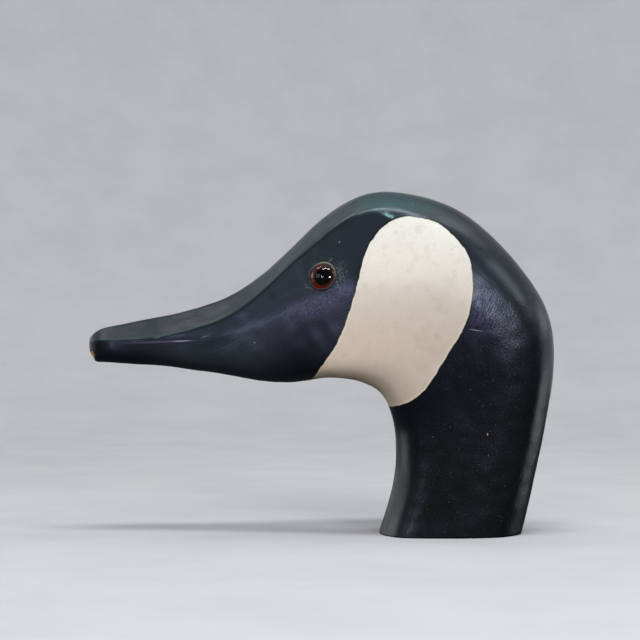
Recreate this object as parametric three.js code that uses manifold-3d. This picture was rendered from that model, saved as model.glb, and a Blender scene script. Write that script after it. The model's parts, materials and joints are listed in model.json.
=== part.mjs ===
// Head of a carved and painted goose decoy: bill, head and neck from one block of wood, cut flat below the
// neck, with a domed glass eye in a socket on each side. Millimetres, +Z up. The bill points along -Y and +X
// is the bird's left. The origin is the middle of the flat cut, on which the head stands.

import * as THREE from "three";
import { mergeVertices } from "three/addons/utils/BufferGeometryUtils.js";
import Module from "manifold-3d";

// The ribs of the carving, from the bill's tip to the cut. Each is one cross-section, square across a chord
// from the crest line to the keel line. half is half the width, and widest says how far down the chord the
// widest line is. upper and lower say how square the section is above and below it, with 2 for an oval.
// shoulder, cheek and jaw are the depths of the flats planed beside the crest, over the cheek and beside
// the keel.
const RIBS = [
  // crest Y, Z, keel Y, Z, half, widest, upper, lower, shoulder, cheek, jaw
  [-144.4, 81.2, -144.4, 68.1, 9.6, 0.42, 2.6, 4.0, 1.3, 0.0, 0.2], // bill tip
  [-116.1, 86.0, -116.1, 66.6, 11.2, 0.5, 2.6, 4.2, 2.8, 0.0, 0.2], // middle of the bill
  [-99.3, 90.2, -99.3, 64.5, 12.2, 0.54, 2.5, 4.6, 2.6, 0.2, 0.3], // root of the bill
  [-85.3, 95.9, -85.7, 62.3, 13.4, 0.54, 2.4, 4.6, 2.1, 0.7, 0.4], // lores
  [-72.9, 105.0, -75.3, 60.6, 15.2, 0.52, 2.3, 4.6, 1.5, 1.1, 0.5], // brow
  [-60.9, 116.3, -65.7, 60.2, 17.6, 0.51, 2.3, 4.8, 1.5, 1.7, 0.5], // in front of the eye
  [-48.9, 126.9, -56.9, 60.9, 20.4, 0.52, 2.3, 5.8, 1.7, 2.2, 0.5], // behind the eye
  [-38.5, 133.4, -49.7, 61.9, 22.6, 0.53, 2.3, 7.0, 1.2, 2.5, 0.5], // front of the crown
  [-26.9, 136.1, -43.3, 61.8, 24.2, 0.54, 2.3, 8.0, 0.9, 2.6, 0.6], // crown
  [-12.9, 134.5, -37.7, 60.9, 25.2, 0.52, 2.3, 8.0, 0.8, 2.2, 0.9], // cheek
  [1.5, 129.4, -32.9, 59.1, 25.6, 0.48, 2.3, 8.0, 0.8, 1.2, 1.3], // back of the crown
  [27.9, 105.8, -25.5, 52.4, 24.9, 0.42, 2.4, 7.5, 0.4, 0.3, 1.7], // nape
  [36.3, 93.2, -23.6, 47.4, 24.1, 0.4, 2.5, 6.5, 0.4, 0.2, 1.8], // below the nape
  [40.6, 80.0, -22.2, 41.8, 23.4, 0.4, 2.6, 5.5, 0.5, 0.2, 1.8], // top of the neck
  [41.0, 64.8, -21.6, 34.0, 22.8, 0.43, 2.6, 4.8, 0.7, 0.2, 1.7], // neck
  [38.7, 48.0, -22.0, 24.8, 22.4, 0.46, 2.6, 4.4, 0.8, 0.2, 1.6], // middle of the neck
  [28.2, 0.0, -28.2, 0.0, 23.0, 0.5, 2.6, 4.2, 0.8, 0.2, 1.5], // the cut
];

// The planed flats face this far round from the crest, and their edges are this crisp.
const SHOULDER_TURN = THREE.MathUtils.degToRad(38);
const CHEEK_TURN = THREE.MathUtils.degToRad(75);
const JAW_TURN = THREE.MathUtils.degToRad(150);
const CRISPNESS = 60;

// The section changes from its upper to its lower squareness between these turns.
const SIDE_TOP_TURN = THREE.MathUtils.degToRad(76);
const SIDE_LOW_TURN = THREE.MathUtils.degToRad(104);

// The blunt end of the bill: how far back from the tip its top, underside and sides reach their full size.
const TIP_TOP_LENGTH = 9.5;
const TIP_UNDERSIDE_LENGTH = 4.5;
const TIP_SIDE_LENGTH = 12;
const TIP_BLUNTNESS = 2.2;

// Glass eyes: a shallow dome on a thin rim, set so that only the dome stands out of the head.
const EYE_DIAMETER = 12;
const EYE_DOME_RADIUS = 6.5;
const EYE_RIM_THICKNESS = 0.8;
const EYE_STANDS_OUT = 2.6;
const EYE_ALONG = 99.29;
const EYE_TURN = THREE.MathUtils.degToRad(63.68);
const EYE_CLEARANCE = 0.3;

// Facets of the solids.
const TIP_ROWS = 8;
const TIP_ROWS_LENGTH = 9;
const BODY_ROWS = 56;
const SIDES = 56;
const EYE_SIDES = 32;
const EYE_DOME_STEPS = 7;

const PAINTED_WOOD = new THREE.MeshStandardMaterial({ color: 0x1b222b, roughness: 0.4, metalness: 0 });
const BROWN_GLASS = new THREE.MeshStandardMaterial({ color: 0x4a150c, roughness: 0.06, metalness: 0 });

// Natural cubic spline through values at knots, as a function of the distance along.
function naturalSpline(knots, values) {
  const last = knots.length - 1;
  const span = knots.slice(1).map((knot, i) => knot - knots[i]);
  const slope = span.map((length, i) => (values[i + 1] - values[i]) / length);
  const share = new Array(last).fill(0);
  const load = new Array(last).fill(0);
  for (let i = 1; i < last; i += 1) {
    const pivot = 2 * (span[i - 1] + span[i]) - span[i - 1] * share[i - 1];
    share[i] = span[i] / pivot;
    load[i] = (6 * (slope[i] - slope[i - 1]) - span[i - 1] * load[i - 1]) / pivot;
  }
  const bend = new Array(last + 1).fill(0);
  for (let i = last - 1; i > 0; i -= 1) {
    bend[i] = load[i] - share[i] * bend[i + 1];
  }
  return (along) => {
    const i = Math.min(Math.max(knots.findLastIndex((knot) => knot <= along), 0), last - 1);
    const after = (along - knots[i]) / span[i];
    const before = 1 - after;
    const curve = (before ** 3 - before) * bend[i] + (after ** 3 - after) * bend[i + 1];
    return before * values[i] + after * values[i + 1] + (curve * span[i] ** 2) / 6;
  };
}

// Distance of each rib from the bill's tip: the mean of the lengths along the crest and along the keel.
function ribDistances() {
  const distances = [0];
  for (let i = 1; i < RIBS.length; i += 1) {
    const step = RIBS[i].map((value, column) => value - RIBS[i - 1][column]);
    const mean = (Math.hypot(step[0], step[1]) + Math.hypot(step[2], step[3])) / 2;
    distances.push(distances[i - 1] + mean);
  }
  return distances;
}

const DISTANCES = ribDistances();
const LENGTH = DISTANCES[DISTANCES.length - 1];
const RIB_SPLINES = RIBS[0].map((_, column) => naturalSpline(DISTANCES, RIBS.map((rib) => rib[column])));

// Grows from 0 at the tip to 1 at the length given, as the quarter of a blunt oval.
function tipGrowth(along, length) {
  const left = Math.max(1 - along / length, 0);
  return (1 - left ** TIP_BLUNTNESS) ** (1 / TIP_BLUNTNESS);
}

// Distance from the middle of a squared oval to its tangent that faces a turn from the crest.
function ovalReach(half, height, square, turn) {
  const power = square / (square - 1);
  const across = Math.abs(half * Math.sin(turn)) ** power;
  const upright = Math.abs(height * Math.cos(turn)) ** power;
  return (across + upright) ** (1 / power);
}

// The point of the head's skin at a distance along from the tip and a turn round from the crest. The section
// is a squared oval, and a flat takes over where it lies nearer to the middle than the oval does.
function skinPoint(along, turn) {
  const rib = RIB_SPLINES.map((spline) => spline(along));
  const [crestY, crestZ, keelY, keelZ, half, widest, upper, lower, shoulder, cheek, jaw] = rib;
  const height = Math.hypot(crestY - keelY, crestZ - keelZ);
  const upY = (crestY - keelY) / height;
  const upZ = (crestZ - keelZ) / height;
  const sideGrowth = tipGrowth(along, TIP_SIDE_LENGTH);
  const across = half * sideGrowth;
  const above = widest * height * tipGrowth(along, TIP_TOP_LENGTH);
  const below = (1 - widest) * height * tipGrowth(along, TIP_UNDERSIDE_LENGTH);

  const upright = Math.cos(turn);
  const sideways = Math.sin(turn);
  const fromCrest = Math.acos(THREE.MathUtils.clamp(upright, -1, 1));
  const square = THREE.MathUtils.lerp(
    upper,
    lower,
    THREE.MathUtils.smoothstep(fromCrest, SIDE_TOP_TURN, SIDE_LOW_TURN),
  );
  const reach = upright >= 0 ? above : below;
  const tall = (Math.abs(upright) / reach) ** square;
  const wide = (Math.abs(sideways) / across) ** square;
  const oval = (tall + wide) ** (1 / square);
  const flats = [
    [SHOULDER_TURN, above, upper, shoulder],
    [CHEEK_TURN, above, upper, cheek],
    [JAW_TURN, below, lower, jaw],
  ];
  let total = oval ** CRISPNESS;
  for (const [facing, high, bent, depth] of flats) {
    const flat = ovalReach(across, high, bent, facing) - depth * sideGrowth;
    total += (Math.max(Math.cos(fromCrest - facing), 0) / flat) ** CRISPNESS;
  }
  const radius = total ** (-1 / CRISPNESS);

  const up = radius * upright;
  const middleY = THREE.MathUtils.lerp(crestY, keelY, widest);
  const middleZ = THREE.MathUtils.lerp(crestZ, keelZ, widest);
  return new THREE.Vector3(radius * sideways, middleY + up * upY, middleZ + up * upZ);
}

// Rows of the skin: close together over the blunt tip, then even to the cut.
function rowDistances() {
  const rows = [];
  for (let i = 1; i <= TIP_ROWS; i += 1) {
    rows.push(TIP_ROWS_LENGTH * (1 - Math.cos(((i / TIP_ROWS) * Math.PI) / 2)));
  }
  for (let i = 1; i <= BODY_ROWS; i += 1) {
    rows.push(THREE.MathUtils.lerp(TIP_ROWS_LENGTH, LENGTH, i / BODY_ROWS));
  }
  return rows;
}

// The whole head as one closed skin: a fan at the tip, rings of quads, and a flat fan over the cut.
function headGeometry() {
  const [crestY, crestZ, keelY, keelZ, , widest] = RIBS[0];
  const tip = new THREE.Vector3(
    0,
    THREE.MathUtils.lerp(crestY, keelY, widest),
    THREE.MathUtils.lerp(crestZ, keelZ, widest),
  );
  const points = [tip];
  const rows = rowDistances();
  for (const along of rows) {
    for (let side = 0; side < SIDES; side += 1) {
      points.push(skinPoint(along, (side / SIDES) * 2 * Math.PI));
    }
  }
  const cutMiddle = points.push(new THREE.Vector3(0, 0, 0)) - 1;

  const at = (row, side) => 1 + row * SIDES + (side % SIDES);
  const faces = [];
  for (let side = 0; side < SIDES; side += 1) {
    faces.push(0, at(0, side + 1), at(0, side));
    for (let row = 0; row + 1 < rows.length; row += 1) {
      faces.push(at(row, side), at(row + 1, side + 1), at(row + 1, side));
      faces.push(at(row, side), at(row, side + 1), at(row + 1, side + 1));
    }
    faces.push(cutMiddle, at(rows.length - 1, side), at(rows.length - 1, side + 1));
  }
  const geometry = new THREE.BufferGeometry().setFromPoints(points);
  geometry.setIndex(faces);
  return geometry;
}

// A glass eye, grown by a clearance all round, turned about its own Y axis with the dome's centre at zero.
function eyeGeometry(clearance) {
  const dome = EYE_DOME_RADIUS + clearance;
  const rim = EYE_DIAMETER / 2 + clearance;
  const rimLevel = Math.sqrt(EYE_DOME_RADIUS ** 2 - (EYE_DIAMETER / 2) ** 2);
  const profile = [new THREE.Vector2(0, rimLevel - EYE_RIM_THICKNESS - clearance)];
  profile.push(new THREE.Vector2(rim, rimLevel - EYE_RIM_THICKNESS - clearance));
  const rimTurn = Math.asin(rim / dome);
  for (let i = 0; i < EYE_DOME_STEPS; i += 1) {
    const turn = rimTurn * (1 - i / EYE_DOME_STEPS);
    profile.push(new THREE.Vector2(dome * Math.sin(turn), dome * Math.cos(turn)));
  }
  profile.push(new THREE.Vector2(0, dome));
  return new THREE.LatheGeometry(profile, EYE_SIDES);
}

// The eye's place: square to the skin, with the dome standing out of it by its set amount. side is 1 or -1.
function eyePlacement(side) {
  const nudge = 0.002;
  const point = skinPoint(EYE_ALONG, EYE_TURN);
  const alongSkin = skinPoint(EYE_ALONG + nudge, EYE_TURN).sub(point);
  const roundSkin = skinPoint(EYE_ALONG, EYE_TURN + nudge).sub(point);
  const outward = roundSkin.cross(alongSkin).normalize();
  const centre = point.addScaledVector(outward, EYE_STANDS_OUT - EYE_DOME_RADIUS);
  centre.x *= side;
  outward.x *= side;
  const turn = new THREE.Quaternion().setFromUnitVectors(new THREE.Vector3(0, 1, 0), outward);
  return { centre, turn };
}

const wasm = await Module();
wasm.setup();

// A closed geometry as a solid, with shared vertices merged and the collapsed faces at a lathe's poles
// left out.
function toSolid(geometry) {
  const bare = geometry.clone();
  bare.deleteAttribute("normal");
  bare.deleteAttribute("uv");
  const merged = mergeVertices(bare, 1e-4);
  const index = merged.index.array;
  const faces = [];
  for (let i = 0; i < index.length; i += 3) {
    const [a, b, c] = index.subarray(i, i + 3);
    if (a !== b && b !== c && c !== a) {
      faces.push(a, b, c);
    }
  }
  const vertProperties = new Float32Array(merged.attributes.position.array);
  return new wasm.Manifold(new wasm.Mesh({ numProp: 3, vertProperties, triVerts: new Uint32Array(faces) }));
}

function fromSolid(solid) {
  const mesh = solid.getMesh();
  const geometry = new THREE.BufferGeometry();
  geometry.setAttribute("position", new THREE.BufferAttribute(mesh.vertProperties, 3));
  geometry.setIndex(new THREE.BufferAttribute(mesh.triVerts, 1));
  geometry.computeVertexNormals();
  return geometry;
}

const decoyHead = new THREE.Group();
let carving = toSolid(headGeometry());

for (const [name, side] of [["eye_left", 1], ["eye_right", -1]]) {
  const { centre, turn } = eyePlacement(side);
  const eye = new THREE.Mesh(eyeGeometry(0), BROWN_GLASS);
  eye.name = name;
  eye.position.copy(centre);
  eye.quaternion.copy(turn);
  decoyHead.add(eye);

  const socket = eyeGeometry(EYE_CLEARANCE).applyQuaternion(turn).translate(centre.x, centre.y, centre.z);
  carving = carving.subtract(toSolid(socket));
}

const headAndNeck = new THREE.Mesh(fromSolid(carving), PAINTED_WOOD);
headAndNeck.name = "head_and_neck";
decoyHead.add(headAndNeck);

export default decoyHead;
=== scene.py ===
"""Carved and painted goose decoy head with glass eyes, standing on the flat cut below its neck.

Shapes are worked out in millimetres and put into the meshes in metres. +Z is up, the bill points along -Y and +X is
the bird's left side.
"""

import json
import math

import bpy
import numpy as np
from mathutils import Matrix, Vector

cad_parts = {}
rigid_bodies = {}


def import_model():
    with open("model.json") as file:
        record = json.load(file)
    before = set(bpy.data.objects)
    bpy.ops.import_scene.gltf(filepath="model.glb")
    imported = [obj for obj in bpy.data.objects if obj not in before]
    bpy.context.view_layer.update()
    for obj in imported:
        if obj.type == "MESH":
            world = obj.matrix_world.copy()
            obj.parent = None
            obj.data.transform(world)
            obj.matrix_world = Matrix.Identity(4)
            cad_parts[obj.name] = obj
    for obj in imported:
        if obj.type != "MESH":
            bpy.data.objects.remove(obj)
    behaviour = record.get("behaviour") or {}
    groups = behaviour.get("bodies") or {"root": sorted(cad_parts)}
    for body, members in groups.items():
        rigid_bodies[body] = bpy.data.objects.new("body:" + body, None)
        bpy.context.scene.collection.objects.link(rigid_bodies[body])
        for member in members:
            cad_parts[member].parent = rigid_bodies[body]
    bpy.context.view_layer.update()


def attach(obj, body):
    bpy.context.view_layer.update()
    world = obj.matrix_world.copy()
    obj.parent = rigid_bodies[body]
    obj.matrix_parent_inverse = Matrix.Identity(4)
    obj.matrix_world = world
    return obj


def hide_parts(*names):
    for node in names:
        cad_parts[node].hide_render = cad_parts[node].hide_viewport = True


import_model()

MM = 0.001
FULL_TURN = 2.0 * math.pi
SEED = 11

# The ribs of the carving, as cross-sections square across a chord from the crest line to the keel line: crest Y and
# Z, keel Y and Z, half the width, how far down the chord the widest line is, how square the section is above and
# below it, and how deep the flats beside the crest, over the cheek and beside the keel are planed.
RIBS = np.array([
    [-144.4, 81.2, -144.4, 68.1, 9.6, 0.42, 2.6, 4.0, 1.3, 0.0, 0.2],  # bill tip
    [-116.1, 86.0, -116.1, 66.6, 11.2, 0.5, 2.6, 4.2, 2.8, 0.0, 0.2],  # middle of the bill
    [-99.3, 90.2, -99.3, 64.5, 12.2, 0.54, 2.5, 4.6, 2.6, 0.2, 0.3],  # root of the bill
    [-85.3, 95.9, -85.7, 62.3, 13.4, 0.54, 2.4, 4.6, 2.1, 0.7, 0.4],  # lores
    [-72.9, 105.0, -75.3, 60.6, 15.2, 0.52, 2.3, 4.6, 1.5, 1.1, 0.5],  # brow
    [-60.9, 116.3, -65.7, 60.2, 17.6, 0.51, 2.3, 4.8, 1.5, 1.7, 0.5],  # in front of the eye
    [-48.9, 126.9, -56.9, 60.9, 20.4, 0.52, 2.3, 5.8, 1.7, 2.2, 0.5],  # behind the eye
    [-38.5, 133.4, -49.7, 61.9, 22.6, 0.53, 2.3, 7.0, 1.2, 2.5, 0.5],  # front of the crown
    [-26.9, 136.1, -43.3, 61.8, 24.2, 0.54, 2.3, 8.0, 0.9, 2.6, 0.6],  # crown
    [-12.9, 134.5, -37.7, 60.9, 25.2, 0.52, 2.3, 8.0, 0.8, 2.2, 0.9],  # cheek
    [1.5, 129.4, -32.9, 59.1, 25.6, 0.48, 2.3, 8.0, 0.8, 1.2, 1.3],  # back of the crown
    [27.9, 105.8, -25.5, 52.4, 24.9, 0.42, 2.4, 7.5, 0.4, 0.3, 1.7],  # nape
    [36.3, 93.2, -23.6, 47.4, 24.1, 0.4, 2.5, 6.5, 0.4, 0.2, 1.8],  # below the nape
    [40.6, 80.0, -22.2, 41.8, 23.4, 0.4, 2.6, 5.5, 0.5, 0.2, 1.8],  # top of the neck
    [41.0, 64.8, -21.6, 34.0, 22.8, 0.43, 2.6, 4.8, 0.7, 0.2, 1.7],  # neck
    [38.7, 48.0, -22.0, 24.8, 22.4, 0.46, 2.6, 4.4, 0.8, 0.2, 1.6],  # middle of the neck
    [28.2, 0.0, -28.2, 0.0, 23.0, 0.5, 2.6, 4.2, 0.8, 0.2, 1.5],  # the cut
])
SHOULDER_TURN = math.radians(38)
CHEEK_TURN = math.radians(75)
JAW_TURN = math.radians(150)
CRISPNESS = 60.0
RUBBING = (104.0, 160.0)
RUBBED_TURN = math.radians(5.0)
RUB_REACH = 2.0
RUB_STEPS = 9
SIDE_TURNS = (math.radians(76), math.radians(104))
TIP_TOP_LENGTH = 9.5
TIP_UNDERSIDE_LENGTH = 4.5
TIP_SIDE_LENGTH = 12.0
TIP_BLUNTNESS = 2.2

# Glass eyes: a shallow dome on a thin rim, square to the skin at this place.
EYE_RADIUS = 6.0
EYE_DOME_RADIUS = 6.5
EYE_RIM_THICKNESS = 0.8
EYE_STANDS_OUT = 2.6
EYE_ALONG = 99.29
EYE_TURN = math.radians(63.68)

# Rows of skin points over the bill's tip and behind it, and points round each row.
TIP_LENGTH = 9.0
TIP_ROWS = 34
TIP_CROWDING = 2.2
BODY_ROWS = 336
SKIN_ROUND = 240

# Places that were measured on the side view are given as pixels across and down it. The camera stands level with
# CAMERA_AIM, CAMERA_AWAY millimetres from the middle of the head.
PIXEL = 0.4
PIXEL_OF_ORIGIN = np.array([450.2, 532.0])
CAMERA_AIM = np.array([-52.08, 84.8])
CAMERA_AWAY = 750.0


def seen_at(pixels, x):
    """Y and Z of what shows at those pixels and lies x to the left of the middle: the place in the middle plane,
    drawn in towards the camera's aim by x over the camera's distance."""
    flat = (np.asarray(pixels) - PIXEL_OF_ORIGIN) * np.array([PIXEL, -PIXEL])
    return CAMERA_AIM + (flat - CAMERA_AIM) * (1.0 - x / CAMERA_AWAY)


# The outline of the white cheek patch in pixels, from the top forwards and round. The points below the throat lie
# outside the head, so that the patch runs on under it.
PATCH = seen_at([
    [403.9, 216.0], [379.9, 230.0], [365.7, 252.5], [358.2, 281.0], [348.7, 314.0], [338.2, 341.0],
    [323.9, 363.5], [313.7, 378.0], [303.9, 397.0], [335.2, 417.0], [365.2, 413.0], [396.9, 406.5],
    [416.4, 397.5], [431.9, 380.0], [445.7, 357.5], [463.4, 327.5], [471.2, 301.0], [472.7, 278.5],
    [468.7, 255.5], [454.2, 235.5], [435.9, 221.5], [419.9, 217.2],
], 23.0)
PATCH_SEGMENTS = 160

# The chip at the bill's tip.
CHIP_MIDDLE = np.array([3.2, -143.0, 70.5])
CHIP_SIZE = np.array([4.5, 1.5, 2.2])
CHIP_DEPTH = 0.45


def smooth_step(low, high, value):
    """0 below low, 1 above high, and the cubic 3q^2 - 2q^3 of the way q between them."""
    way = np.clip((value - low) / (high - low), 0.0, 1.0)
    return way * way * (3.0 - 2.0 * way)


def hump(value, middle, width):
    """Bell curve exp(-((value - middle) / width)^2)."""
    return np.exp(-(((value - middle) / width) ** 2))


def natural_spline(knots, values, at):
    """Natural cubic spline through values, one column for each quantity: straight lines between the knots, plus a
    cubic sag from second derivatives that make the slopes meet."""
    span = np.diff(knots)
    slope = np.diff(values, axis=0) / span[:, None]
    system = np.eye(len(knots))
    load = np.zeros_like(values)
    inner = np.arange(1, len(knots) - 1)
    system[inner, inner - 1] = span[:-1]
    system[inner, inner] = 2.0 * (span[:-1] + span[1:])
    system[inner, inner + 1] = span[1:]
    load[inner] = 6.0 * np.diff(slope, axis=0)
    bend = np.linalg.solve(system, load)
    i = np.clip(np.searchsorted(knots, at, side="right") - 1, 0, len(knots) - 2)
    after = ((at - knots[i]) / span[i])[:, None]
    before = 1.0 - after
    sag = (before**3 - before) * bend[i] + (after**3 - after) * bend[i + 1]
    return before * values[i] + after * values[i + 1] + sag * span[i, None] ** 2 / 6.0


def rib_distances():
    """Distance of each rib from the bill's tip: the mean of the lengths along the crest and along the keel."""
    step = np.diff(RIBS[:, :4], axis=0)
    mean = (np.hypot(step[:, 0], step[:, 1]) + np.hypot(step[:, 2], step[:, 3])) / 2.0
    return np.concatenate([[0.0], np.cumsum(mean)])


DISTANCES = rib_distances()
LENGTH = DISTANCES[-1]


def tip_growth(along, length):
    """Quarter of a blunt oval: 0 at the tip, 1 at the length given."""
    left = np.clip(1.0 - along / length, 0.0, 1.0)
    return (1.0 - left**TIP_BLUNTNESS) ** (1.0 / TIP_BLUNTNESS)


def oval_reach(half, height, square, turn):
    """Distance from a squared oval's middle to its tangent that faces turn: the dual norm of (half sin, height
    cos)."""
    power = square / (square - 1.0)
    return ((half * abs(math.sin(turn))) ** power + (height * abs(math.cos(turn))) ** power) ** (1.0 / power)


def rounded_most(values):
    """The largest of the values, rounded where two are alike: the root of the sum of their high powers."""
    return sum(value**CRISPNESS for value in values) ** (1.0 / CRISPNESS)


def section(along, turn):
    """The carved head, for each distance along and each turn round from the crest: the squared oval of that rib in
    polar form, cut by the cheek, jaw and shoulder flats through a high power mean, and set across the rib's chord.
    The flats' edges are crisp on the bill and brow and rubbed round towards the neck. There, one over the radius is
    a bell-weighted mean over nearby turns, divided by the same mean of the cosine: a flat stays where it is, and
    nothing comes to lie further out. Also how much the shoulder flat takes off there, which is more than 0 from the
    crest to the flat's lower edge."""
    rib = natural_spline(DISTANCES, RIBS, along)
    crest, keel = rib[:, 0:2], rib[:, 2:4]
    half, widest, upper, lower, shoulder, cheek, jaw = rib[:, 4:].T[..., None]
    height = np.linalg.norm(crest - keel, axis=1)[:, None]
    up = (crest - keel) / height
    middle = crest + (keel - crest) * widest
    distance = along[:, None]
    side_growth = tip_growth(distance, TIP_SIDE_LENGTH)
    across = half * side_growth
    above = widest * height * tip_growth(distance, TIP_TOP_LENGTH)
    below = (1.0 - widest) * height * tip_growth(distance, TIP_UNDERSIDE_LENGTH)

    def nearness(turn):
        """One over the distance to the oval and to each flat, in the direction of the turn."""
        upright, sideways = np.cos(turn), np.sin(turn)
        from_crest = np.arccos(np.clip(upright, -1.0, 1.0))
        square = upper + (lower - upper) * smooth_step(*SIDE_TURNS, from_crest)
        reach = np.where(upright >= 0.0, above, below)
        oval = ((np.abs(upright) / reach) ** square + (np.abs(sideways) / across) ** square) ** (1.0 / square)
        near = [oval]
        for depth, facing, high, bent in (
            (cheek, CHEEK_TURN, above, upper),
            (jaw, JAW_TURN, below, lower),
            (shoulder, SHOULDER_TURN, above, upper),
        ):
            flat = oval_reach(across, high, bent, facing) - depth * side_growth
            near.append(np.clip(np.cos(from_crest - facing), 1e-3, None) / flat)
        return near

    offsets = np.linspace(-RUB_REACH, RUB_REACH, RUB_STEPS)
    shares = hump(offsets, 0.0, math.sqrt(2.0))
    shares /= shares.sum()
    spread = RUBBED_TURN * smooth_step(*RUBBING, distance)
    rubbed = sum(share * rounded_most(nearness(turn + offset * spread)) for offset, share in zip(offsets, shares))
    radius = sum(share * np.cos(offset * spread) for offset, share in zip(offsets, shares)) / rubbed
    *uncut, flat = nearness(turn[None, :])
    taken_off = np.clip(1.0 / rounded_most(uncut) - 1.0 / flat, -5.0, 5.0)
    upright, sideways = np.cos(turn), np.sin(turn)
    from_crest = np.arccos(np.clip(upright, -1.0, 1.0))
    deepest = np.argmax(np.where(upright > 0.0, taken_off, -np.inf), axis=1)
    middle_turn = from_crest[deepest][:, None]
    taken_off = np.where(from_crest < middle_turn, taken_off.max(axis=1, keepdims=True), taken_off)
    rise = radius * upright
    points = [radius * sideways, middle[:, :1] + rise * up[:, :1], middle[:, 1:] + rise * up[:, 1:]]
    return np.stack(points, axis=-1), taken_off


def skin(along, turn):
    """The points alone of the carved head's section."""
    return section(along, turn)[0]


def spaced(count, low, high, density):
    """count + 1 values from low to high, whose spacing is inversely proportional to the density there."""
    fine = np.linspace(low, high, 4001)
    weight = density(fine)
    passed = np.concatenate([[0.0], np.cumsum((weight[1:] + weight[:-1]) / 2.0)])
    return np.interp(np.linspace(0.0, passed[-1], count + 1), passed, fine)


def ripple(points, shortest, longest, waves, seed):
    """Smooth unevenness of about 1 either way: a sum of plane sine waves in random directions, whose lengths lie
    between shortest and longest, over the square root of half their number."""
    random = np.random.default_rng(seed)
    direction = random.normal(size=(waves, 3))
    direction /= np.linalg.norm(direction, axis=1)[:, None]
    number = FULL_TURN / random.uniform(shortest, longest, waves)
    phase = random.uniform(0.0, FULL_TURN, waves)
    total = np.zeros(points.shape[:-1])
    for wave, shift in zip(direction * number[:, None], phase):
        total += np.sin(points @ wave + shift)
    return total / math.sqrt(waves / 2.0)


def outward(grid):
    """Unit normals of a grid of closed rows, from the cross product of the step round and the step along."""
    along = np.gradient(grid, axis=0)
    wrapped = np.concatenate([grid[:, -1:], grid, grid[:, :1]], axis=1)
    around = wrapped[:, 2:] - wrapped[:, :-2]
    normal = np.cross(around, along)
    return normal / np.maximum(np.linalg.norm(normal, axis=-1, keepdims=True), 1e-12)


class EyePlace:
    """Where one eye sits: origin on the skin, out along the skin's normal, back towards the nape and top upwards.
    side is 1 for the left eye and -1 for the right."""

    def __init__(self, side):
        nudge = 0.002
        start = skin(np.array([EYE_ALONG]), np.array([EYE_TURN]))[0, 0]
        ahead = skin(np.array([EYE_ALONG + nudge]), np.array([EYE_TURN]))[0, 0] - start
        aside = skin(np.array([EYE_ALONG]), np.array([EYE_TURN + nudge]))[0, 0] - start
        out = np.cross(aside, ahead)
        out /= np.linalg.norm(out)
        back = np.array([0.0, 1.0, 0.0]) - out * out[1]
        back /= np.linalg.norm(back)
        mirror = np.array([side, 1.0, 1.0])
        self.side = side
        self.origin = start * mirror
        self.axes = np.stack([back, np.cross(out, back), out]) * mirror

    def local(self, points):
        """Points as distances back, up and out from the origin."""
        return (points - self.origin) @ self.axes.T

    def world(self, points):
        """Points given as distances back, up and out, in the frame of the whole head."""
        return self.origin + points @ self.axes


EYES = {"left": EyePlace(1), "right": EyePlace(-1)}


def patch_distance(points):
    """Signed distance in the profile plane to the patch's outline, more than 0 inside: the least distance to the
    segments of a closed spline, with its sign from the winding number."""
    closed = np.concatenate([PATCH[-3:], PATCH, PATCH[:4]])
    steps = np.linalg.norm(np.diff(closed, axis=0), axis=1)
    knots = np.concatenate([[0.0], np.cumsum(steps)])
    curve = natural_spline(knots, closed, np.linspace(knots[3], knots[3 + len(PATCH)], PATCH_SEGMENTS + 1))
    flat = points[..., 1:].reshape(-1, 2)
    least = np.full(len(flat), np.inf)
    winding = np.zeros(len(flat))
    for start, end in zip(curve[:-1], curve[1:]):
        step = end - start
        way = np.clip(((flat - start) @ step) / (step @ step), 0.0, 1.0)
        least = np.minimum(least, np.linalg.norm(flat - start - way[:, None] * step, axis=1))
        to_start, to_end = start - flat, end - flat
        cross = to_start[:, 0] * to_end[:, 1] - to_start[:, 1] * to_end[:, 0]
        winding += np.arctan2(cross, np.sum(to_start * to_end, axis=1))
    inside = np.abs(winding) > math.pi
    return np.where(inside, least, -least).reshape(points.shape[:-1])


def put_mesh(name, points, groups, **marks):
    """A mesh object from points in millimetres, and groups of (faces, material, smooth). marks are the mesh's point
    attributes, numbers or vectors."""
    mesh = bpy.data.meshes.new(name)
    faces = [tuple(face) for group in groups for face in group[0].tolist()]
    mesh.from_pydata((points * MM).tolist(), [], faces)
    for group in groups:
        mesh.materials.append(group[1].material)
    counts = [len(group[0]) for group in groups]
    mesh.polygons.foreach_set("material_index", np.repeat(np.arange(len(groups)), counts).astype(np.int32))
    mesh.polygons.foreach_set("use_smooth", np.repeat([group[2] for group in groups], counts))
    for mark, values in marks.items():
        vector = values.ndim > 1
        attribute = mesh.attributes.new(mark, "FLOAT_VECTOR" if vector else "FLOAT", "POINT")
        attribute.data.foreach_set("vector" if vector else "value", values.astype(np.float32).ravel())
    mesh.update()
    piece = bpy.data.objects.new(name, mesh)
    bpy.context.scene.collection.objects.link(piece)
    return piece


def rows_of_quads(rows, sides, first):
    """Quads between neighbouring closed rows of points, numbered row by row from first."""
    index = first + np.arange(rows * sides).reshape(rows, sides)
    across = np.roll(index, -1, axis=1)
    return np.stack([index[:-1], across[:-1], across[1:], index[1:]], axis=-1).reshape(-1, 4)


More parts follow.
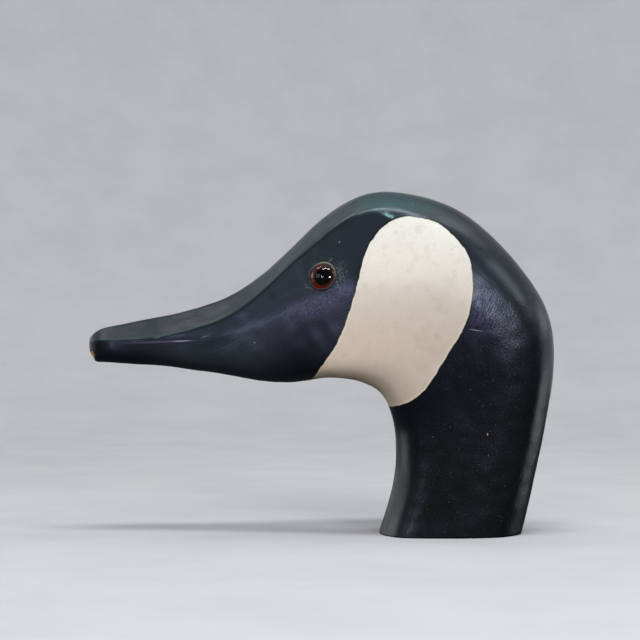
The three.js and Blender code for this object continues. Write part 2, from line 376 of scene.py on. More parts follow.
class Value:
    """A number that varies over a surface. Arithmetic on it adds Math nodes."""

    def __init__(self, finish, socket):
        self.finish = finish
        self.socket = socket

    def math(self, operation, *others, clamp=False):
        inputs = dict(enumerate((self, *others)))
        settings = {"operation": operation, "use_clamp": clamp}
        return Value(self.finish, self.finish.node("ShaderNodeMath", settings, inputs).outputs[0])

    def __add__(self, other):
        return self.math("ADD", other)

    def __sub__(self, other):
        return self.math("SUBTRACT", other)

    def __rsub__(self, other):
        return (self * -1.0) + other

    def __mul__(self, other):
        return self.math("MULTIPLY", other)

    __radd__ = __add__
    __rmul__ = __mul__

    def most(self, other):
        return self.math("MAXIMUM", other)

    def least(self, other):
        return self.math("MINIMUM", other)

    def step(self, low, high):
        """0 at low, 1 at high and smooth between. low may be above high."""
        settings = {"interpolation_type": "SMOOTHSTEP", "clamp": True}
        inputs = {"Value": self, "From Min": low, "From Max": high}
        flip = low > high
        if flip:
            inputs.update({"From Min": high, "From Max": low, "To Min": 1.0, "To Max": 0.0})
        return Value(self.finish, self.finish.node("ShaderNodeMapRange", settings, inputs).outputs[0])


class Finish:
    """A material made of nodes. Constants are set on the shader's own sockets."""

    def __init__(self, name, **constants):
        self.material = bpy.data.materials.new(name)
        self.material.use_nodes = True
        self.tree = self.material.node_tree
        self.shader = self.tree.nodes["Principled BSDF"]
        for socket, value in constants.items():
            self.shader.inputs[socket.replace("_", " ")].default_value = value

    def node(self, kind, settings, inputs):
        """A node of this kind: its settings first, then a value or a link for each named or numbered socket."""
        node = self.tree.nodes.new(kind)
        for name, value in settings.items():
            setattr(node, name, value)
        for name, value in inputs.items():
            self.feed(node.inputs[name], value)
        return node

    def feed(self, socket, value):
        """Links a Value or a socket, or sets a plain value."""
        if isinstance(value, Value):
            self.tree.links.new(value.socket, socket)
        elif isinstance(value, bpy.types.NodeSocket):
            self.tree.links.new(value, socket)
        else:
            socket.default_value = value

    def end(self, **inputs):
        """Feeds the shader's sockets."""
        for name, value in inputs.items():
            self.feed(self.shader.inputs[name.replace("_", " ")], value)
        return self

    def millimetres(self):
        """Object coordinates in millimetres."""
        place = self.node("ShaderNodeTexCoord", {}, {}).outputs["Object"]
        inputs = {0: place, "Scale": 1.0 / MM}
        return self.node("ShaderNodeVectorMath", {"operation": "SCALE"}, inputs).outputs[0]

    def mark(self, name, vector=False):
        """A point attribute of the mesh."""
        node = self.node("ShaderNodeAttribute", {"attribute_name": name}, {})
        return node.outputs["Vector"] if vector else Value(self, node.outputs["Fac"])

    def parts(self, vector):
        outputs = self.node("ShaderNodeSeparateXYZ", {}, {0: vector}).outputs
        return [Value(self, output) for output in outputs]

    def grain(self, where, stretch, detail=2.0, roughness=0.5, offset=0.0, turn=0.0):
        """Noise of 0 to 1 with grains of about the size given by stretch, in millimetres along each axis. turn leans
        the grains about the X axis, in degrees."""
        size = tuple(stretch) if isinstance(stretch, (tuple, list)) else (stretch,) * 3
        inputs = {
            "Vector": where,
            "Location": (offset, offset, offset),
            "Rotation": (math.radians(turn), 0.0, 0.0),
            "Scale": size,
        }
        grid = self.node("ShaderNodeMapping", {"vector_type": "TEXTURE"}, inputs).outputs[0]
        inputs = {"Vector": grid, "Scale": 1.0, "Detail": detail, "Roughness": roughness}
        return Value(self, self.node("ShaderNodeTexNoise", {}, inputs).outputs[0])

    def spot(self, where, middle, size, turn=0.0, soft=1.0):
        """A soft ellipsoid: 1 inside, 0 beyond size, with the edge over the soft share of the radius. turn leans it
        about the X axis, in degrees."""
        inputs = {
            "Vector": where,
            "Location": tuple(middle),
            "Rotation": (math.radians(turn), 0.0, 0.0),
            "Scale": tuple(size),
        }
        inside = self.node("ShaderNodeMapping", {"vector_type": "TEXTURE"}, inputs).outputs[0]
        radius = self.node("ShaderNodeVectorMath", {"operation": "LENGTH"}, {0: inside}).outputs["Value"]
        return Value(self, radius).step(1.0, 1.0 - soft)

    def blend(self, share, under, over):
        """The colour under, with that share of the colour over on it."""
        settings = {"data_type": "RGBA", "clamp_factor": True}
        inputs = {0: share, 6: colour(under), 7: colour(over)}
        return self.node("ShaderNodeMix", settings, inputs).outputs[2]

    def bump(self, height, distance, strength=1.0):
        """A normal from heights in millimetres times distance."""
        inputs = {"Height": height, "Distance": distance * MM, "Strength": strength}
        return self.node("ShaderNodeBump", {}, inputs).outputs[0]


def colour(value):
    """A plain colour with its alpha, or a link as it is."""
    return (*value, 1.0) if isinstance(value, tuple) and len(value) == 3 else value


def at(across, down, x=18.0):
    """The point of the left side seen at that pixel of the side view."""
    return (x, *seen_at((across, down), x))


def px(x, width, height):
    """A size in millimetres from a depth in millimetres, and a width and height in pixels of the side view."""
    return (x, width * PIXEL, height * PIXEL)


# Paint colours. The lighter face colour and the grey, grey-green, teal, turquoise and lilac ones are painted light: a
# lit face, painted reflections, sheens and highlights.
NAVY = (0.0040, 0.0044, 0.0078)
LIT_FACE = (0.0110, 0.0165, 0.0215)
NECK_BLACK = (0.0042, 0.0044, 0.0042)
GREEN_BLACK = (0.0035, 0.0090, 0.0085)
GREY_GREEN_SHEEN = (0.040, 0.054, 0.054)
BILL_GREY_SHEEN = (0.006, 0.010, 0.011)
TEAL_SHEEN = (0.028, 0.075, 0.080)
TURQUOISE_GLINT = (0.15, 0.33, 0.34)
LILAC_SHEEN = (0.070, 0.064, 0.135)
PALE = (0.30, 0.31, 0.33)
WHITE = (0.72, 0.735, 0.665)
TAN = (0.555, 0.48, 0.39)
STAIN = (0.38, 0.33, 0.25)
CREAM_EDGE = (0.68, 0.68, 0.50)
OCHRE = (0.46, 0.25, 0.06)
WORN = (0.11, 0.11, 0.10)
STIPPLE_LIGHT = (0.13, 0.17, 0.16)

# Small marks in the black paint, some of them painted light: pixels across and down the side view, half width and
# half height in pixels, lean in degrees, and colour.
MARKS = (
    (339.5, 241.7, 1.0, 0.8, 0.0, PALE),
    (475.0, 330.2, 9.5, 0.55, -9.5, PALE),
    # Painted shadow: the dark line in the scratch's groove, above its pale line.
    (476.0, 327.4, 9.0, 0.8, -9.5, (0.003, 0.003, 0.005)),
    # Painted highlights: two lilac streaks of the nape's sheen, on this row and the next.
    (475.0, 307.0, 3.2, 0.45, -4.0, LILAC_SHEEN),
    (475.0, 314.0, 3.4, 0.45, 8.0, LILAC_SHEEN),
    (414.0, 203.0, 1.2, 0.7, 0.0, PALE),
    (425.0, 216.0, 0.9, 0.7, 0.0, PALE),
    (254.0, 343.0, 0.8, 0.8, 0.0, PALE),
    # Painted highlights on the bill's edge, on this row and the next two.
    (155.0, 338.0, 5.0, 0.7, 6.0, (0.14, 0.22, 0.24)),
    (180.0, 341.3, 15.0, 1.2, 3.0, (0.32, 0.30, 0.46)),
    (203.0, 337.0, 6.0, 0.6, 24.0, (0.16, 0.15, 0.26)),
    (308.5, 287.5, 4.2, 0.5, -14.0, STIPPLE_LIGHT),
    (305.5, 284.0, 2.6, 0.45, -52.0, STIPPLE_LIGHT),
    (330.5, 260.0, 3.6, 0.5, 42.0, STIPPLE_LIGHT),
    (332.0, 261.5, 3.6, 0.6, 42.0, (0.010, 0.006, 0.010)),
    # Painted highlight: a faint glint on the bill's edge.
    (135.0, 341.0, 9.0, 0.6, 4.0, (0.08, 0.09, 0.14)),
    (466.0, 305.0, 2.0, 0.5, -4.0, PALE),
    (487.0, 434.0, 0.8, 1.7, 0.0, TAN),
    (488.0, 455.0, 0.6, 1.4, 0.0, WORN),
)
# Stains on the white, in the same way.
STAINS = (
    (396.5, 232.0, 2.6, 4.2, 20.0),
    (416.0, 237.0, 2.0, 1.4, 0.0),
    (440.0, 230.0, 1.6, 1.6, 0.0),
    (452.0, 249.0, 1.5, 1.5, 0.0),
    (437.0, 337.0, 5.0, 7.0, 20.0),
    (345.0, 355.0, 5.0, 3.5, 0.0),
)


def head_paint():
    """Black and white paint of the head. Fine strokes lie along the carving, and the patch's edge stands up a little.
    Painted light is laid into the black: the upper face lighter and the lower sides darker, painted reflections of
    grey-green and teal on the planed shoulder and the crown, thin painted highlights along the shoulder's edge, and a
    painted lilac sheen on the cheek, the nape and the bill."""
    paint = Finish("head_paint", Specular_IOR_Level=0.5, Specular_Tint=(0.78, 0.88, 1.0, 1.0))
    where = paint.millimetres()
    x, y, z = paint.parts(where)
    both = paint.node("ShaderNodeCombineXYZ", {}, {0: x.math("ABSOLUTE"), 1: y, 2: z}).outputs[0]
    lay = paint.mark("lay", vector=True)
    along, arc, aside = paint.parts(lay)
    facet = paint.mark("facet")

    strokes = paint.grain(lay, (26.0, 0.8, 30.0), detail=3.0)
    fine_strokes = paint.grain(lay, (9.0, 0.45, 30.0), detail=2.0, offset=7.0)
    mottle = paint.grain(where, 9.0, detail=4.0, roughness=0.6)
    pores = paint.grain(where, 0.6, detail=2.0, offset=3.0)
    speckle = paint.grain(where, 0.9, detail=3.0, roughness=0.65, offset=5.0)
    leaning = paint.grain(where, (8.0, 0.6, 4.5), detail=2.0, offset=9.0, turn=-25.0)

    # Black paint, with painted light, shade and reflections laid into its colour.
    # Painted light and shade: the upper face is lighter, where it faces up to the lights, and the lower sides are
    # darker.
    low = z.step(108.0, 84.0) * along.step(60.0, 96.0).most(along.step(40.0, 20.0))
    black = paint.blend(low.most(along.step(150.0, 170.0)), LIT_FACE, NAVY)
    black = paint.blend(along.step(172.0, 205.0), black, NECK_BLACK)
    black = paint.blend(mottle.step(0.4, 0.75) * 0.5, black, GREEN_BLACK)
    # Painted shade: a darker strip just below the shoulder flat's edge, where the surface turns away from the lights.
    shade_below_edge = facet.step(-1.4, -0.3) * facet.step(0.0, -0.2) * along.step(24.0, 34.0) * along.step(116.0, 104.0)
    black = paint.blend(shade_below_edge * 0.75, black, GREEN_BLACK)
    # Painted reflection: the planed shoulder flat is lightened to grey, and to grey-green from the brow back, as the
    # light above shows on it.
    band = facet.step(-0.40, 0.06) * along.step(145.0, 120.0)
    grey = paint.blend(along.step(50.0, 75.0), BILL_GREY_SHEEN, GREY_GREEN_SHEEN)
    shade = paint.blend(band * (strokes.step(0.25, 0.7) * 0.45 + 0.55), black, grey)
    # Painted shade: the flat turns a darker green towards its lower edge on the bill.
    green = band * facet.step(1.3, 0.1) * along.step(70.0, 45.0)
    shade = paint.blend(green * 0.9, shade, (0.005, 0.020, 0.019))
    # Painted reflection: a teal sheen on the crown's flat and at the front top of the patch, where the light above
    # shows.
    crown = paint.spot(both, (0.0, -24.0, 131.0), (40.0, 26.0, 11.0), turn=-4.0, soft=0.8)
    low_crown = paint.spot(both, at(404, 215, 20.0), px(10.0, 22.0, 6.0), turn=-8.0)
    teal = crown * facet.step(-0.3, 0.1)
    shade = paint.blend(teal.most(low_crown) * (strokes.step(0.35, 0.65) * 0.75 + 0.25), shade, TEAL_SHEEN)
    # Painted highlight: a bright turquoise V at the top of the crown, broken up by dabs.
    dabs = paint.grain(where, (4.0, 1.6, 0.6), detail=3.0, roughness=0.7, offset=19.0, turn=-27.0)
    crown_sheen_streak = paint.spot(where, at(389, 214.5, 20.0), px(16.0, 15.0, 4.2), turn=-25.0, soft=0.8)
    shade = paint.blend(crown_sheen_streak * dabs.step(0.36, 0.52) * 0.9, shade, (0.060, 0.140, 0.145))
    crown_glint_streak = paint.spot(where, at(390, 215.5, 20.0), px(16.0, 11.0, 2.2), turn=-27.0, soft=0.8)
    shade = paint.blend(crown_glint_streak * dabs.step(0.44, 0.58) * 0.9, shade, (0.30, 0.48, 0.49))
    # Painted highlights: thin lines along the shoulder flat's edge, grey in two stretches before the eye and
    # turquoise at the crown.
    edge = facet.step(-0.18, -0.02) * facet.step(0.14, 0.02)
    shown = along.step(45.0, 50.0) * along.step(66.0, 60.0) + along.step(86.0, 90.0) * along.step(100.0, 94.0)
    shade = paint.blend(edge * shown * speckle.step(0.3, 0.55) * 0.5, shade, (0.10, 0.13, 0.13))
    lit = along.step(106.0, 114.0) * along.step(122.0, 118.0)
    shade = paint.blend(edge * lit * speckle.step(0.35, 0.6) * 0.7, shade, TURQUOISE_GLINT)

    # Painted lilac sheen: painted highlights of the lamps on the cheek, beside the eye, on the nape and along the
    # bill's edge.
    cheek = paint.spot(both, at(314, 306, 18.0), px(20.0, 52.0, 17.0), turn=19.0)
    side = paint.spot(both, at(346, 290, 22.0), px(14.0, 18.0, 16.0), turn=40.0)
    nape = paint.spot(both, at(480, 312, 22.0), px(20.0, 22.0, 40.0), turn=-8.0)
    bill = paint.spot(both, at(160, 341.8, 11.0), px(7.0, 58.0, 1.7), turn=2.0)
    lilac_sheen = cheek.most(side) * (speckle.step(0.40, 0.62) * 0.7 + 0.3)
    lilac_sheen = lilac_sheen.most(nape * (leaning.step(0.38, 0.62) * 0.75 + 0.25)).most(bill * 0.9)
    shade = paint.blend(lilac_sheen * 0.75, shade, LILAC_SHEEN)

    # Filler stippled behind each eye, with the paint rubbed off its grains, and its hollows darkened as painted
    # shade.
    behind = paint.spot(both, at(338, 276, 19.5), px(12.0, 13.0, 18.0), turn=-20.0, soft=0.7)
    dashes = paint.grain(where, (2.0, 0.75, 0.45), detail=3.0, roughness=0.7, offset=13.0, turn=35.0)
    shade = paint.blend(behind * dashes.step(0.50, 0.62) * 0.65, shade, STIPPLE_LIGHT)
    shade = paint.blend(behind * dashes.step(0.50, 0.40) * 0.9, shade, (0.003, 0.006, 0.006))

    # Specks, scratches and nicks.
    dust = paint.grain(where, 0.55, detail=1.0, offset=29.0) + along.step(140.0, 175.0) * 0.03
    shade = paint.blend(dust.step(0.76, 0.82) * 0.35, shade, PALE)
    for across, down, wide, high, lean, tone in MARKS:
        mark = paint.spot(where, at(across, down, 20.0), px(16.0, wide, high), turn=lean, soft=0.6)
        shade = paint.blend(mark * (speckle.step(0.2, 0.5) * 0.8), shade, tone)

    # White patch.
    wobble = paint.grain(where, 3.2, detail=2.0, offset=11.0)
    inside = paint.mark("patch") + (wobble - 0.5) * 0.9
    white = inside.step(-0.14, 0.14)
    shade = paint.blend(inside.step(-1.4, -0.1) * 0.6, shade, NAVY)
    # The white runs to tan towards the bottom: partly a warmer, dirtier tone and partly painted shade.
    cream = paint.blend(z.step(126.0, 74.0), WHITE, TAN)
    stained = paint.grain(where, 5.0, detail=5.0, roughness=0.65, offset=17.0)
    cream = paint.blend(stained.step(0.48, 0.75) * 0.28, cream, STAIN)
    cream = paint.blend(speckle.step(0.50, 0.75) * 0.18, cream, STAIN)
    for across, down, wide, high, lean in STAINS:
        stain = paint.spot(where, at(across, down, 24.0), px(12.0, wide, high), turn=lean, soft=0.9)
        cream = paint.blend(stain * speckle.step(0.3, 0.6) * 0.55, cream, STAIN)
    cream = paint.blend(inside.step(1.0, 0.3) * 0.35, cream, CREAM_EDGE)
    shade = paint.blend(white, shade, cream)

    # Damage at the bill's tip.
    chip = paint.spot(where, CHIP_MIDDLE, CHIP_SIZE * 1.1, soft=0.3)
    scuff = paint.spot(where, (3.0, -144.0, 73.6), (5.5, 1.6, 3.2), soft=1.0)
    shade = paint.blend(scuff * 0.45, shade, WORN)
    shade = paint.blend(chip, shade, OCHRE)

    gloss = 0.22 + mottle * 0.08 + strokes * 0.08 + white * 0.24 + chip * 0.3
    ridge = inside.step(-0.35, 0.15) * inside.step(0.9, 0.15)
    black_only = 1.0 - white
    neck = along.step(145.0, 170.0)
    height = (strokes * 0.05 + fine_strokes * 0.035) * (black_only * 0.8 + 0.2) * (1.0 - neck * 0.75) + pores * 0.02
    height = height + speckle * neck * black_only * 0.07
    height = height + leaning * nape * 0.30 + speckle * cheek * 0.10 + white * 0.04 + ridge * 0.06
    height = height + dashes * behind * 0.12
    return paint.end(Base_Color=shade, Roughness=gloss, Normal=paint.bump(height, 1.0))


def bare_wood():
    """Sawn end grain of the flat cut: growth rings round a heart that lies outside the neck."""
    wood = Finish("sawn_wood", Roughness=0.75)
    where = wood.millimetres()
    x, y, z = wood.parts(where)
    wander = wood.grain(where, 18.0, detail=3.0) * 6.0
    rings = ((x + 60.0) * (x + 60.0) + (y - 35.0) * (y - 35.0)).math("SQRT") + wander
    band = (rings * (FULL_TURN / 2.6)).math("SINE").step(-0.6, 1.0)
    fibres = wood.grain(where, (0.5, 0.5, 6.0), detail=3.0, offset=2.0)
    shade = wood.blend(band * 0.6, (0.42, 0.29, 0.17), (0.26, 0.155, 0.08))
    shade = wood.blend(fibres.step(0.4, 0.8) * 0.4, shade, (0.20, 0.12, 0.065))
    return wood.end(Base_Color=shade, Normal=wood.bump(fibres * 0.1 + band * 0.04, 1.0))


def head_relief(points):
    """How far to move the skin out: the hand's unevenness, filler stippled round the eyes with a few combed arcs,
    the dish in which each eye is set, and the chip at the tip."""
    uneven = 0.09 * ripple(points, 16.0, 34.0, 26, SEED) + 0.025 * ripple(points, 5.0, 9.0, 30, SEED + 1)
    depth = uneven * smooth_step(0.0, 6.0, points[..., 2])
    stipple = np.clip(ripple(points, 1.0, 1.8, 44, SEED + 2), -1.3, 1.6)
    for place in EYES.values():
        back, top, out = np.moveaxis(place.local(points), -1, 0)
        radius = np.hypot(back, top)
        near = (np.abs(out) < 9.0) & (radius < 20.0)
        behind = 0.35 + 0.65 * smooth_step(-1.0, 4.0, back - 0.3 * top)
        band = smooth_step(5.6, 6.3, radius) * (1.0 - smooth_step(8.2, 11.0, radius)) * behind
        lower_front = hump(np.arctan2(top, back), math.radians(-138), math.radians(24))
        arcs = np.cos(FULL_TURN * radius / 1.1) * hump(radius, 7.2, 1.3) * lower_front
        dish = 1.0 - smooth_step(4.9, 6.2, radius)
        depth = depth + np.where(near, 0.05 * band * stipple + 0.05 * arcs - 3.4 * dish, 0.0)
    chip = 1.0 - smooth_step(0.7, 1.15, np.linalg.norm((points - CHIP_MIDDLE) / CHIP_SIZE, axis=-1))
    return depth - CHIP_DEPTH * chip


def carved_head():
    """Rows of skin points from the tip to the cut, moved out by the relief, with a pole at the tip and a flat face
    over the cut. Carries the patch's signed distance, and the lay of the brush: the distance along, the arc from the
    crest, and X."""
    tip = TIP_LENGTH * (np.arange(1, TIP_ROWS + 1) / TIP_ROWS) ** TIP_CROWDING
    body = spaced(BODY_ROWS, TIP_LENGTH, LENGTH, lambda d: 1.0 + 1.7 * hump(d, EYE_ALONG, 11.0))
    along = np.concatenate([tip, body[1:]])

    def crowded(turn):
        return 1.0 + 1.6 * hump(turn, EYE_TURN, 0.42) + 1.6 * hump(turn, FULL_TURN - EYE_TURN, 0.42)

    turn = spaced(SKIN_ROUND, 0.0, FULL_TURN, crowded)[:-1]
    grid, taken_off = section(along, turn)
    moved = grid + outward(grid) * head_relief(grid)[..., None]
    moved[-1, :, 2] = 0.0
    points = np.concatenate([moved[0].mean(axis=0)[None], moved.reshape(-1, 3)])

    girth = np.linalg.norm(np.roll(grid, -1, axis=1) - grid, axis=-1).sum(axis=1)
    arc = np.arccos(np.cos(turn)) * (girth / FULL_TURN)[:, None]
    lay = np.stack([np.broadcast_to(along[:, None], arc.shape), arc, grid[..., 0]], axis=-1)
    lay = np.concatenate([np.zeros((1, 3)), lay.reshape(-1, 3)])
    patch = np.concatenate([[-90.0], patch_distance(grid).ravel()])
    facet = np.concatenate([[0.0], taken_off.ravel()])

    first = 1 + np.arange(SKIN_ROUND)
    cap = np.stack([np.zeros_like(first), np.roll(first, -1), first], axis=-1)
    cut = 1 + (len(along) - 1) * SKIN_ROUND + np.arange(SKIN_ROUND)
    paint = head_paint()
    groups = [
        (rows_of_quads(len(along), SKIN_ROUND, 1), paint, True),
        (cap, paint, True),
        (cut[None], bare_wood(), False),
    ]
    return put_mesh("carved_head", points, groups, patch=patch, facet=facet, lay=lay)


def turned(name, place, radius, out, sides, finish):
    """A closed solid of revolution about an eye's axis, from a profile of radii and distances out that starts and
    ends on the axis. Carries each point's place back, up and out."""
    angle = np.arange(sides) * FULL_TURN / sides
    round_axis = np.stack([np.cos(angle), np.sin(angle)], axis=-1)
    rows = np.concatenate([
        radius[1:-1, None, None] * round_axis,
        np.broadcast_to(out[1:-1, None, None], (len(out) - 2, sides, 1)),
    ], axis=-1)
    local = np.concatenate([[[0.0, 0.0, out[0]]], rows.reshape(-1, 3), [[0.0, 0.0, out[-1]]]])
    first = 1 + np.arange(sides)
    last = first + (len(out) - 3) * sides
    start = np.stack([np.zeros_like(first), first, np.roll(first, -1)], axis=-1)
    end = np.stack([np.full_like(last, len(local) - 1), np.roll(last, -1), last], axis=-1)
    quads = rows_of_quads(len(out) - 2, sides, 1)[:, ::-1]
    groups = [start, quads, end]
    if place.side < 0:
        groups = [faces[:, ::-1] for faces in groups]
    return put_mesh(name, place.world(local), [(faces, finish, True) for faces in groups], eye=local)


def glass_profile():
    """Radii and distances out of the eye's glass: a ball's cap over the dome, a short rounded rim and a flat back."""
    middle = EYE_STANDS_OUT - EYE_DOME_RADIUS
    rim_angle = math.asin(EYE_RADIUS / EYE_DOME_RADIUS)
    bow = np.linspace(0.0, rim_angle, 36)
    radius = EYE_DOME_RADIUS * np.sin(bow)
    out = middle + EYE_DOME_RADIUS * np.cos(bow)
    back = out[-1] - EYE_RIM_THICKNESS
    radius = np.concatenate([radius, [EYE_RADIUS, EYE_RADIUS - 0.05, EYE_RADIUS - 0.2, 0.0]])
    out = np.concatenate([out, [back + 0.15, back + 0.04, back, back]])
    return radius, out


def iris_profile():
    """Radii and distances out of the painted disc: flat, with a thin edge, and sunk into the glass's back so that no
    gap shines between them."""
    back = EYE_STANDS_OUT - EYE_DOME_RADIUS + math.sqrt(EYE_DOME_RADIUS**2 - EYE_RADIUS**2) - EYE_RIM_THICKNESS
    front = back + 0.05
    radius = np.concatenate([np.linspace(0.0, 5.85, 24), [5.9, 5.85, 0.0]])
    out = np.concatenate([np.full(24, front), [front - 0.06, front - 0.12, front - 0.12]])
    return radius, out


PUPIL_RADIUS = 2.5


def iris_paint():
    """Colours of the disc behind the glass: a black pupil in a red-brown iris, with fine fibres from the middle out,
    and a brighter red on its lower part as painted light."""
    paint = Finish("iris_paint", Roughness=0.6, Specular_IOR_Level=0.0)
    place = paint.mark("eye", vector=True)
    back, top, out = paint.parts(place)
    radius = (back * back + top * top).math("SQRT")
    angle = top.math("ARCTAN2", back)
    spoke = paint.node("ShaderNodeCombineXYZ", {}, {0: radius, 1: angle.math("COSINE") * 9.0, 2: angle.math("SINE") * 9.0})
    fibres = paint.grain(spoke.outputs[0], (2.2, 0.5, 0.5), detail=3.0)
    patchy = paint.grain(place, 2.4, detail=2.0, offset=4.0)
    shade = paint.blend(patchy.step(0.35, 0.65), (0.14, 0.018, 0.009), (0.075, 0.024, 0.014))
    shade = paint.blend(fibres.step(0.35, 0.75) * 0.4, shade, (0.26, 0.055, 0.028))
    # Painted light: the lower part is a brighter red, where light from above is focused through the dome.
    shade = paint.blend((top + back * 0.35).step(-1.0, -4.6) * 0.75, shade, (0.32, 0.016, 0.006))
    shade = paint.blend(radius.step(PUPIL_RADIUS + 1.3, PUPIL_RADIUS) * 0.7, shade, (0.020, 0.006, 0.006))
    shade = paint.blend(radius.step(4.6, 5.7) * 0.7, shade, (0.03, 0.008, 0.006))
    shade = paint.blend(radius.step(PUPIL_RADIUS + 0.12, PUPIL_RADIUS - 0.06), shade, (0.003, 0.003, 0.003))
    return paint.end(Base_Color=shade, Normal=paint.bump(fibres * 0.05, 1.0))


def filler_paint():
    """Cream filler that was pressed round the glass, showing cream only on its inner side towards the top and back,
    and dark elsewhere.
    """
    paint = Finish("eye_filler", Roughness=0.55)
    place = paint.mark("eye", vector=True)
    back, top, out = paint.parts(place)
    radius = (back * back + top * top).math("SQRT")
    lumps = paint.grain(place, 0.7, detail=3.0)
    shown = radius.step(5.85, 5.50) * (top * 0.12 + back * 0.06 - 0.08).math("MAXIMUM", 0.0, clamp=True)
    cream = paint.blend(lumps.step(0.4, 0.7), (0.30, 0.29, 0.21), (0.17, 0.18, 0.13))
    shade = paint.blend(shown, (0.022, 0.034, 0.036), cream)
    return paint.end(Base_Color=shade, Normal=paint.bump(lumps * 0.2, 1.0))


def filler_ring(name, place, finish):
    """A bead round the glass: an oval section carried round the eye's axis, with a lumpy surface. Carries each
    point's place back, up and out."""
    sides, round_section = 120, 18
    angle = (np.arange(sides) * FULL_TURN / sides)[:, None]
    bow = (np.arange(round_section) * FULL_TURN / round_section)[None, :]
    width = 0.46 + 0.12 * np.sin(angle + 0.5) + 0.05 * np.sin(5.0 * angle + 1.0)
    height = 0.50 + 0.10 * np.sin(angle + 0.6)
    radius = 5.52 + width * np.cos(bow)
    out = -0.28 + height * np.sin(bow)
    local = np.stack([radius * np.cos(angle), radius * np.sin(angle), out], axis=-1)
    local += 0.05 * ripple(local, 0.9, 1.6, 20, SEED + 3)[..., None] * np.array([0.3, 0.3, 1.0])
    closed = np.concatenate([local, local[:1]])
    index = rows_of_quads(sides + 1, round_section, 0) % (sides * round_section)
    faces = index if place.side > 0 else index[:, ::-1]
    return put_mesh(name, place.world(closed[:-1].reshape(-1, 3)), [(faces, finish, True)], eye=local.reshape(-1, 3))


def ride_and_slot(piece):
    """Every piece belongs to the one body."""
    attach(piece, "root")


def make_object():
    """The head, and for each eye the glass, the painted disc behind it and the filler round it. Gives back a
    collection of them, for the lights that leave the floor out."""
    head = carved_head()
    ride_and_slot(head)
    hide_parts("head_and_neck")
    clear = Finish(
        "clear_glass",
        Base_Color=(1.0, 1.0, 1.0, 1.0),
        Roughness=0.0,
        IOR=1.5,
        Transmission_Weight=1.0,
    )
    iris = iris_paint()
    filler = filler_paint()
    for side, place in EYES.items():
        glass = turned(f"glass_dome_{side}", place, *glass_profile(), 96, clear)
        ride_and_slot(glass)
        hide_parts(f"eye_{side}")
        ride_and_slot(turned(f"iris_{side}", place, *iris_profile(), 96, iris))
        ride_and_slot(filler_ring(f"eye_filler_{side}", place, filler))
    pieces = bpy.data.collections.new("goose_head")
    for piece in bpy.context.scene.objects:
        if piece.type == "MESH":
            pieces.objects.link(piece)
    return pieces


# Floor, backdrop, lights and camera, in metres.
FLOOR_RADIUS = 0.55
COVE_RADIUS = 0.95
WALL_TOP = 2.3
BOWL_ROWS = 64
BOWL_SIDES = 64
VIEW_WIDTH = 640.0 * PIXEL
SENSOR = 36.0


def backdrop():
    """A pale floor that turns up into a round wall: a line, a quarter circle and a line, revolved about Z. The floor
    and the wall before the object are left out of what its paint reflects, as a dark room would be."""
    bend = np.linspace(0.0, math.pi / 2.0, BOWL_ROWS)
    bowl_radius = np.concatenate([FLOOR_RADIUS + COVE_RADIUS * np.sin(bend), [FLOOR_RADIUS + COVE_RADIUS]])
    bowl_height = np.concatenate([COVE_RADIUS * (1.0 - np.cos(bend)), [WALL_TOP]])
    plaster = Finish("pale_backdrop", Roughness=0.95, Specular_IOR_Level=0.1)
    cloud = plaster.grain(plaster.millimetres(), 60.0, detail=4.0, roughness=0.6)
    plaster.end(Base_Color=plaster.blend(cloud.step(0.3, 0.7), (0.60, 0.605, 0.62), (0.64, 0.645, 0.655)))
    near_floor = np.array([0.0, 0.2, FLOOR_RADIUS])
    flat = np.zeros(3)
    behind, before = (0.5 * math.pi, 1.5 * math.pi), (-0.5 * math.pi, 0.5 * math.pi)
    sweep("floor_before", near_floor, flat, before, plaster, False)
    sweep("floor_behind", near_floor, flat, behind, plaster, False)
    sweep("wall_before", bowl_radius, bowl_height, before, plaster, False)
    sweep("wall_behind", bowl_radius, bowl_height, behind, plaster, True)


def sweep(name, radius, height, turns, finish, seen_by_paint):
    """Part of the stage: a profile of radii and heights in metres, turned about Z between two angles."""
    angle = np.linspace(*turns, BOWL_SIDES + 1)
    rows = np.stack([
        radius[:, None] * np.cos(angle),
        radius[:, None] * np.sin(angle),
        np.broadcast_to(height[:, None], (len(height), len(angle))),
    ], axis=-1)
    index = np.arange(rows.size // 3).reshape(rows.shape[:2])
    quads = np.stack([index[:-1, :-1], index[1:, :-1], index[1:, 1:], index[:-1, 1:]], axis=-1).reshape(-1, 4)
    part = put_mesh(name, rows.reshape(-1, 3) / MM, [(quads, finish, True)])
    part.visible_glossy = seen_by_paint
    part.visible_diffuse = seen_by_paint


def soft_light(name, place, aim, width, height, watts, tint, glints=True, lit=None):
    """A rectangular area light at place that faces aim, which the camera doesn't see. Without glints it is left out
    of reflections. lit is a collection of the only objects that it lights."""
    lamp = bpy.data.lights.new(name, "AREA")
    lamp.shape = "RECTANGLE"
    lamp.size = width
    lamp.size_y = height
    lamp.energy = watts
    lamp.color = tint
    holder = bpy.data.objects.new(name, lamp)
    holder.location = place
    holder.rotation_euler = (Vector(aim) - Vector(place)).to_track_quat("-Z", "Y").to_euler()
    holder.visible_camera = False
    holder.visible_glossy = glints
    holder.visible_transmission = glints
    if lit:
        holder.light_linking.receiver_collection = lit
    bpy.context.scene.collection.objects.link(holder)


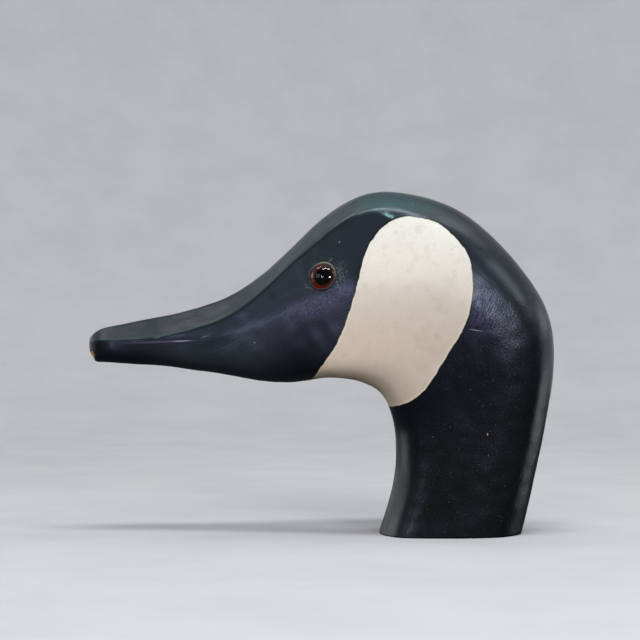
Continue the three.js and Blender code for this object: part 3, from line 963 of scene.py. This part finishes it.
def light_and_camera(head):
    """A narrow light above, two small ones beside the camera, a wide soft one in front that makes no glints, weak
    ones above, before and behind the head, and two washing the back wall."""
    aim = (0.0, -0.03, 0.09)
    soft_light("over", (0.34, 0.0, 1.45), aim, 0.90, 0.26, 8.8, (1.0, 1.0, 1.0))
    soft_light("cheek", (0.86, -0.50, 0.34), aim, 0.24, 0.20, 1.25, (0.74, 0.72, 1.0))
    soft_light("nape", (0.90, 0.43, 0.36), aim, 0.22, 0.22, 3.3, (0.86, 0.85, 1.0))
    soft_light("fill", (0.95, 0.0, 0.85), aim, 0.90, 0.50, 4.7, (1.0, 0.98, 0.93), glints=False)
    soft_light("top", (-0.35, 0.0, 1.40), aim, 1.10, 0.70, 1.25, (0.84, 0.98, 1.0))
    soft_light("face", (0.60, -1.0, 0.55), aim, 0.60, 0.50, 1.0, (0.86, 0.92, 1.0))
    soft_light("back", (0.30, 1.20, 0.90), aim, 0.60, 0.50, 3.0, (0.94, 1.0, 1.0))
    soft_light("rear_rim", (-0.45, 1.15, 0.12), aim, 0.50, 0.80, 2.3, (0.98, 1.0, 1.0), lit=head)
    soft_light("front_rim", (-0.55, -1.05, 0.20), aim, 0.50, 0.70, 2.2, (1.0, 1.0, 0.96), lit=head)
    soft_light("bounce", (0.55, -0.30, 0.02), aim, 0.50, 0.20, 2.2, (1.0, 0.90, 0.78), glints=False, lit=head)
    for side in (-1.0, 1.0):
        place = (-0.35, side * 0.8, 1.5)
        soft_light(f"wall_{side:+.0f}", place, (-1.45, side * 0.35, 0.35), 0.6, 0.4, 3.3, (1.0, 1.0, 1.0))
    world = bpy.data.worlds.new("room")
    world.use_nodes = True
    world.node_tree.nodes["Background"].inputs[0].default_value = (0.046, 0.047, 0.052, 1.0)
    bpy.context.scene.world = world
    lens = bpy.data.cameras.new("side_view")
    lens.sensor_width = SENSOR
    lens.lens = SENSOR * CAMERA_AWAY / VIEW_WIDTH
    camera = bpy.data.objects.new("side_view", lens)
    camera.location = Vector((CAMERA_AWAY, *CAMERA_AIM)) * MM
    camera.rotation_euler = (math.pi / 2.0, 0.0, math.pi / 2.0)
    bpy.context.scene.collection.objects.link(camera)
    bpy.context.scene.camera = camera
    bpy.context.scene.view_settings.view_transform = "Standard"


goose_head = make_object()
backdrop()
light_and_camera(goose_head)
